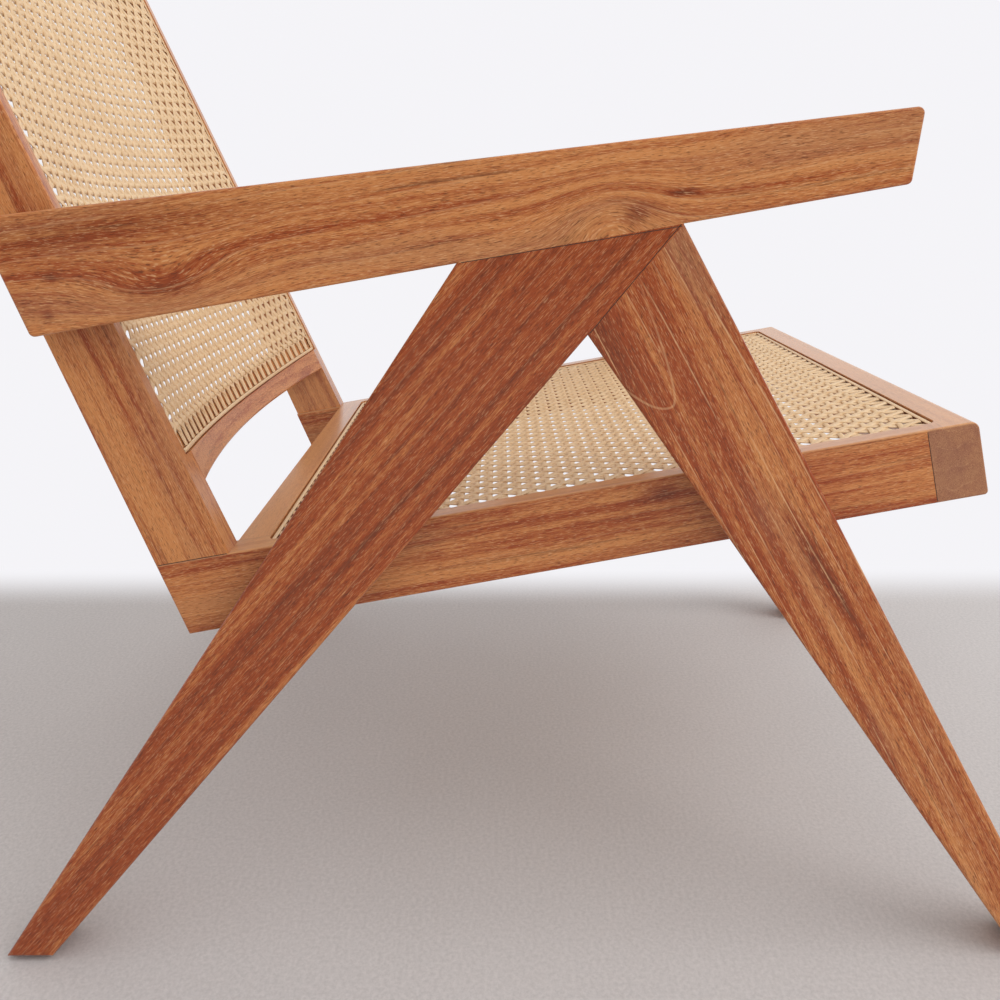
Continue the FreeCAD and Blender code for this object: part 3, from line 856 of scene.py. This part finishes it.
class CHAIR_OT_draw_joint_lines(bpy.types.Operator):
    """Draw the thin dark lines where the boards meet on the outer faces"""

    bl_idname = "lounge_chair.draw_joint_lines"
    bl_label = "Draw joint lines"

    def execute(self, context):
        dark = plain_finish("joint_dark", (0.040, 0.018, 0.010), (0.090, 0.036, 0.018),
                            scale=900.0, roughness=0.6)
        for side, corner in (("right", 0), ("left", 1)):
            for first, second in ((f"rear_leg_{side}", f"arm_{side}"),
                                  (f"rear_leg_{side}", f"front_leg_{side}"),
                                  (f"back_stile_{side}", f"seat_side_rail_{side}"),
                                  ("seat_front_rail", f"seat_side_rail_{side}")):
                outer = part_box(first)[corner][0]
                draw_joint_line(f"joint_{first}_{second}", joint_line(first, second, outer), outer, dark)
        return {"FINISHED"}


class CHAIR_OT_weave_seat(bpy.types.Operator):
    """Weave the cane of the seat"""

    bl_idname = "lounge_chair.weave_seat"
    bl_label = "Weave seat"

    def execute(self, context):
        weave_panel(seat_panel(), "seat_cane", seed=11)
        return {"FINISHED"}


class CHAIR_OT_weave_back(bpy.types.Operator):
    """Weave the cane of the back"""

    bl_idname = "lounge_chair.weave_back"
    bl_label = "Weave back"

    def execute(self, context):
        weave_panel(back_panel(), "back_cane", seed=23)
        return {"FINISHED"}


class CHAIR_OT_set_stage(bpy.types.Operator):
    """Set the pale floor, the soft light and the camera"""

    bl_idname = "lounge_chair.set_stage"
    bl_label = "Set stage"

    def execute(self, context):
        settings = context.scene.chair_stage
        bpy.ops.object.select_all(action="DESELECT")
        bpy.ops.mesh.primitive_plane_add(size=FLOOR_SPAN)
        floor = context.active_object
        floor.name = "floor"
        floor.data.materials.append(floor_finish(settings.floor))

        sky = Finish("sky", context.scene.world or bpy.data.worlds.new("sky"))
        context.scene.world = sky.owner
        plain_white = (1.0, 1.0, 1.0, 1.0)
        lit, seen, dusk = (sky.node("ShaderNodeBackground", None, {"Color": tint, "Strength": level})
                           for tint, level in ((plain_white, settings.sky), (WHITE, 1.0), (WHITE, DUSK)))
        toward = sky.along(sky.node("ShaderNodeTexCoord", out="Generated"), (1.0, 0.0, 0.0))
        glossy = sky.node("ShaderNodeLightPath", out="Is Glossy Ray")
        behind = sky.rise(toward, *BEHIND_CAMERA) * glossy
        shown = sky.node("ShaderNodeMixShader", None, {0: seen_directly(sky), 1: lit, 2: seen})
        sky.output(sky.node("ShaderNodeMixShader", None, {0: behind, 1: shown, 2: dusk}))

        for name, place, size, power in (("window", (-1.2, -2.2, 2.6), 2.4, settings.window),
                                         ("fill", (-2.6, -0.6, 1.3), 2.0, settings.fill)):
            bpy.ops.object.light_add(type="AREA", location=place)
            lamp = context.active_object
            lamp.name = name
            aim = Vector(LIGHT_AIM) - lamp.location
            lamp.rotation_euler = aim.to_track_quat("-Z", "Y").to_euler()
            lamp.data.size = size
            lamp.data.energy = power
            lamp.visible_glossy = False

        turned = (RIGHT_ANGLE - settings.pitch, 0.0, settings.turn - RIGHT_ANGLE)
        bpy.ops.object.camera_add(location=settings.camera, rotation=turned)
        camera = context.active_object
        camera.data.lens = settings.lens
        camera.data.shift_x, camera.data.shift_y = settings.shift
        camera.data.clip_start = 0.01
        context.scene.camera = camera
        context.scene.view_settings.view_transform = "Standard"
        return {"FINISHED"}


def seen_directly(finish):
    """1 on rays from the camera and in reflections, 0 on rays that carry light."""
    camera, glossy, clear = (finish.node("ShaderNodeLightPath", out=ray)
                             for ray in ("Is Camera Ray", "Is Glossy Ray", "Is Transmission Ray"))
    any_of_them = camera + glossy + clear
    return any_of_them.math("MINIMUM", any_of_them, 1.0)


def floor_finish(tint):
    """A pale floor that keeps the shadow near the chair and turns white further out."""
    ground = Finish("pale_floor")
    place = ground.place()
    x, y = (ground.along(place, axis) for axis in ((1, 0, 0), (0, 1, 0)))
    (broad, cloud_swing), (fine, grit_swing) = FLOOR_CLOUD, FLOOR_GRIT
    cloud = ground.noise(x * broad, y * broad, 0.0, 4.0)
    grit = ground.noise(x * fine, y * fine, 5.0, 3.0, 0.7)
    flecks = 0.5 + cloud_swing * (cloud - 0.5) + grit_swing * (grit - 0.5)
    shade = ground.blend(flecks, tint, tuple(FLOOR_FLECK * part for part in tint))
    matt = ground.node("ShaderNodeBsdfPrincipled", None, {"Base Color": shade, "Roughness": 0.75})
    white = ground.node("ShaderNodeEmission", None, {"Color": WHITE, "Strength": 1.0})
    round_about = ground.rise(((x - FLOOR_MIDDLE) ** 2.0 + y ** 2.0) ** 0.5, *FLOOR_ROUND)
    edge = round_about.math("MAXIMUM", round_about, ground.rise(x, *FLOOR_FAR_SIDE))
    mirrored = ground.node("ShaderNodeLightPath", out="Is Glossy Ray") * ground.rise(x, *FLOOR_MIRRORED)
    far = edge * (seen_directly(ground) - mirrored)
    ground.output(ground.node("ShaderNodeMixShader", None, {0: far, 1: matt, 2: white}))
    return ground.owner


class CHAIR_PT_lounge_chair(bpy.types.Panel):
    """The chair's settings and steps"""

    bl_idname = "CHAIR_PT_lounge_chair"
    bl_label = "Lounge chair"
    bl_space_type = "VIEW_3D"
    bl_region_type = "UI"
    bl_category = "Lounge chair"

    def draw(self, context):
        for settings in (context.scene.chair_teak, context.scene.chair_cane, context.scene.chair_stage):
            box = self.layout.box()
            for name in settings.__annotations__:
                box.prop(settings, name)
        for step in STEPS:
            self.layout.operator(step.bl_idname)


GROUPS = {"chair_teak": CHAIR_PG_teak, "chair_cane": CHAIR_PG_cane, "chair_stage": CHAIR_PG_stage}
STEPS = (CHAIR_OT_finish_side_frames, CHAIR_OT_finish_seat_frame, CHAIR_OT_finish_back_frame,
         CHAIR_OT_finish_joinery, CHAIR_OT_draw_joint_lines, CHAIR_OT_weave_seat, CHAIR_OT_weave_back,
         CHAIR_OT_set_stage)


def register():
    """Add the settings, the steps and the panel to Blender."""
    for cls in (*GROUPS.values(), *STEPS, CHAIR_PT_lounge_chair):
        bpy.utils.register_class(cls)
    for name, group in GROUPS.items():
        setattr(bpy.types.Scene, name, PointerProperty(type=group))


def unregister():
    """Take them away again."""
    for name in GROUPS:
        delattr(bpy.types.Scene, name)
    for cls in reversed((*GROUPS.values(), *STEPS, CHAIR_PT_lounge_chair)):
        bpy.utils.unregister_class(cls)


def main():
    """Make the chair."""
    register()
    bpy.ops.lounge_chair.finish_side_frames()
    bpy.ops.lounge_chair.finish_seat_frame()
    bpy.ops.lounge_chair.finish_back_frame()
    bpy.ops.lounge_chair.finish_joinery()
    bpy.ops.lounge_chair.draw_joint_lines()
    bpy.ops.lounge_chair.weave_seat()
    bpy.ops.lounge_chair.weave_back()
    bpy.ops.lounge_chair.set_stage()


if __name__ == "__main__":
    main()
